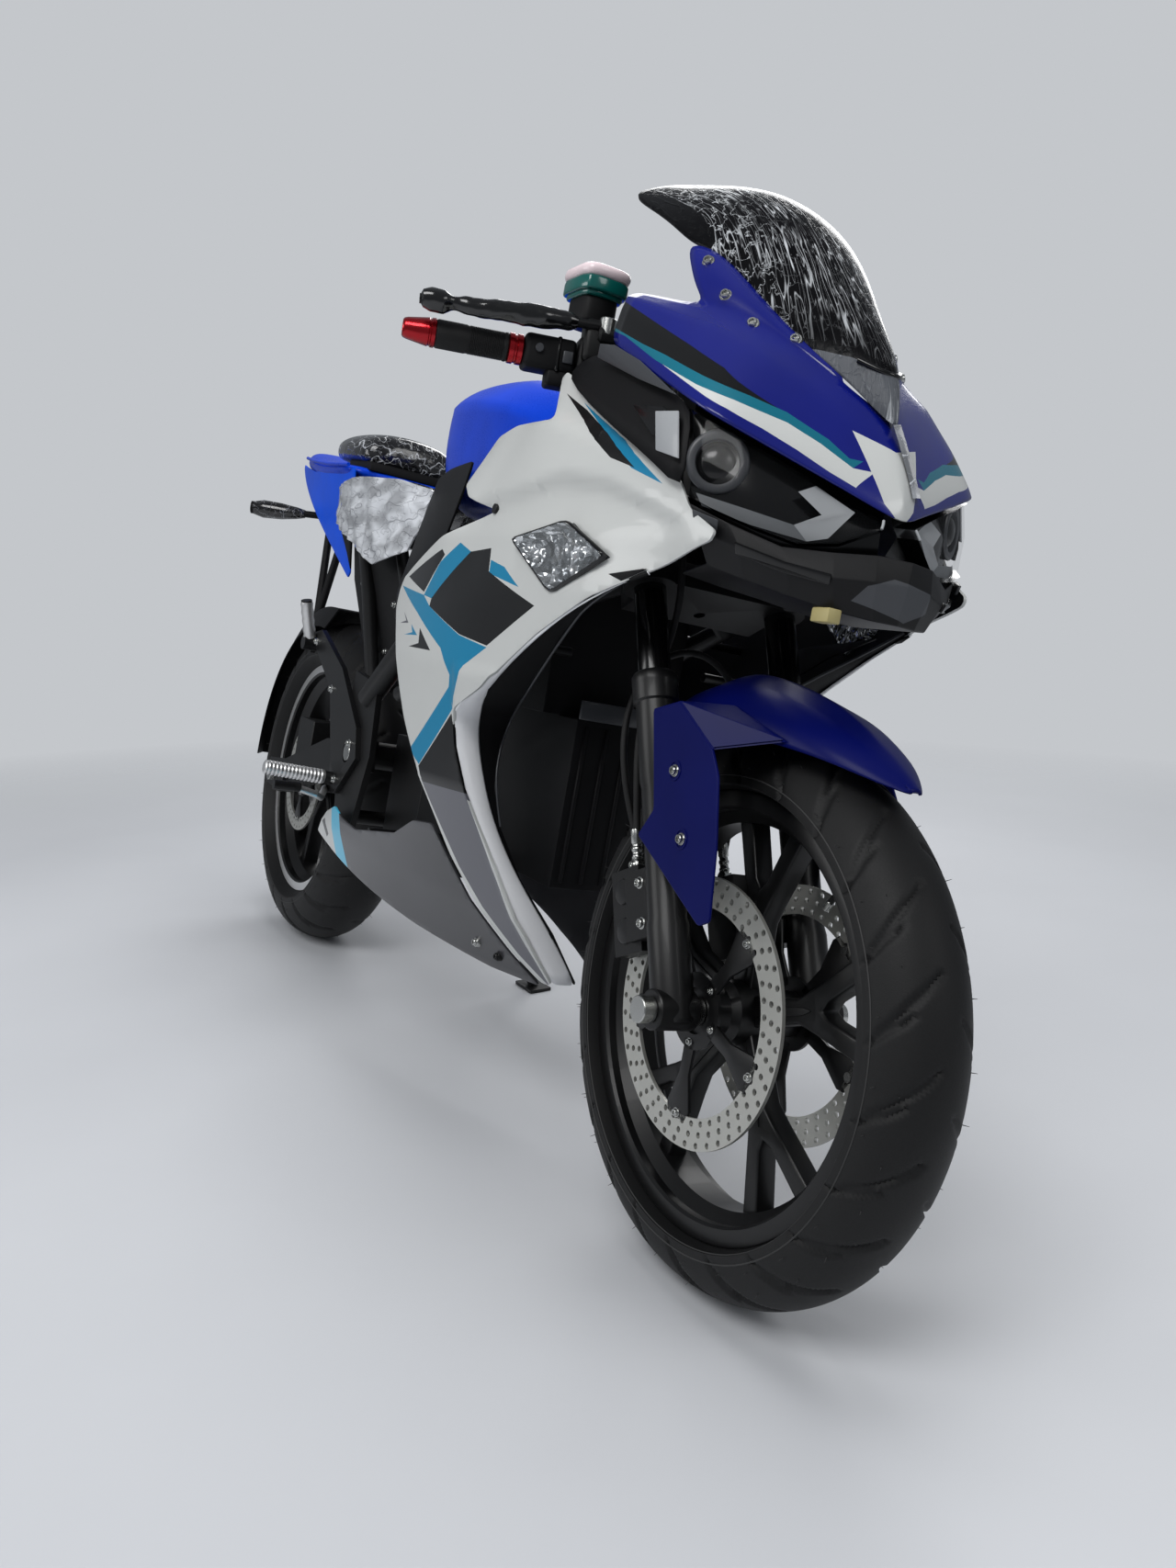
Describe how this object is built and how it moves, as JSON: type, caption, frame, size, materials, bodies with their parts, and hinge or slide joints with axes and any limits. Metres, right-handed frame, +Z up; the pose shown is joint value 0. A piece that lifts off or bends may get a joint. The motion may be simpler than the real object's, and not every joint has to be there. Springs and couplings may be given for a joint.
{
  "type": "sport bike",
  "caption": "Full-fairing sport motorcycle with turning wheels, steering fork and folding side stand, parked leaning on its stand.",
  "frame": {"origin": "on the floor, under the centre of the box round the parked bike", "axes": "+X forwards, +Y to the rider's left, +Z up; the bike itself leans 11.5 degrees to the left"},
  "size_m": [2.0899, 0.7456, 1.1855],
  "materials": {
    "blue_paint": "gloss, clear coat",
    "white_paint": "gloss",
    "grey_paint": "metallic gloss",
    "black_plastic": "fine grain",
    "black_gloss": "satin black",
    "frame_paint": "satin",
    "smoked_screen": "smoked, gloss",
    "lamp_glass": "clear",
    "tyre_rubber": "matte",
    "seat_vinyl": "fine grain",
    "disc_steel": "brushed",
    "bare_alloy": "satin",
    "hose_rubber": "matte",
    "motor_alloy": "cast"
  },
  "bodies": {
    "chassis": {"battery_box": "black_plastic", "belly_pans": "grey_paint", "chin": "black_plastic", "cover_pegs": "black_plastic", "cowl_bracket": "black_plastic", "drive_chain": "disc_steel", "fairing_stays": "black_plastic", "footrest_left": "black_plastic", "footrest_right": "black_plastic", "headlight_left": "lamp_glass", "headlight_right": "lamp_glass", "inner_fairings": "black_plastic", "instrument_panel": "black_plastic", "knee_covers": "black_plastic", "main_frame": "frame_paint", "motor": "motor_alloy", "nose_cowl": "blue_paint", "passenger_seat": "seat_vinyl", "pivot_bolt": "bare_alloy", "rear_axle": "bare_alloy", "rear_caliper": "black_gloss", "rear_mudguard": "black_plastic", "rear_shock": "black_plastic", "rear_signals": "black_plastic", "rider_seat": "seat_vinyl", "seat_covers": "white_paint", "side_fairing_left": "white_paint", "side_fairing_right": "white_paint", "subframe": "frame_paint", "swingarm": "frame_paint", "tail_cowl": "blue_paint", "tail_lamp": "lamp_glass", "tank": "blue_paint", "turn_lamps": "lamp_glass", "windscreen": "smoked_screen"},
    "steering": {"brake_hoses": "hose_rubber", "fork_clamps": "black_gloss", "fork_leg_left": "black_gloss", "fork_leg_right": "black_gloss", "front_axle": "bare_alloy", "front_calipers": "black_gloss", "front_fender": "blue_paint", "handlebar_left": "black_gloss", "handlebar_right": "black_gloss"},
    "front_wheel": {"front_discs": "disc_steel", "front_rim": "black_gloss", "front_tyre": "tyre_rubber"},
    "rear_wheel": {"rear_disc": "disc_steel", "rear_rim": "black_gloss", "rear_sprocket": "disc_steel", "rear_tyre": "tyre_rubber"},
    "side_stand": {"side_stand": "black_gloss"}
  },
  "joints": [
    {"name": "steering_turn", "type": "hinge", "parent": "chassis", "child": "steering", "pos_m": [0.72005, -0.12331, 0.27427], "axis": [-0.4067, 0.1821, 0.8952], "range_deg": [-28, 28]},
    {"name": "front_wheel_spin", "type": "hinge", "parent": "steering", "child": "front_wheel", "pos_m": [0.75202, -0.12047, 0.28822], "axis": [0, 0.9799, -0.1994], "continuous": true},
    {"name": "rear_wheel_spin", "type": "hinge", "parent": "chassis", "child": "rear_wheel", "pos_m": [-0.69698, -0.11441, 0.318], "axis": [0, 0.9799, -0.1994], "continuous": true},
    {"name": "side_stand_fold", "type": "hinge", "parent": "chassis", "child": "side_stand", "pos_m": [-0.21698, -0.0129, 0.2351], "axis": [0.0515, 0.9278, 0.3695], "range_deg": [0, 80.9]}
  ]
}
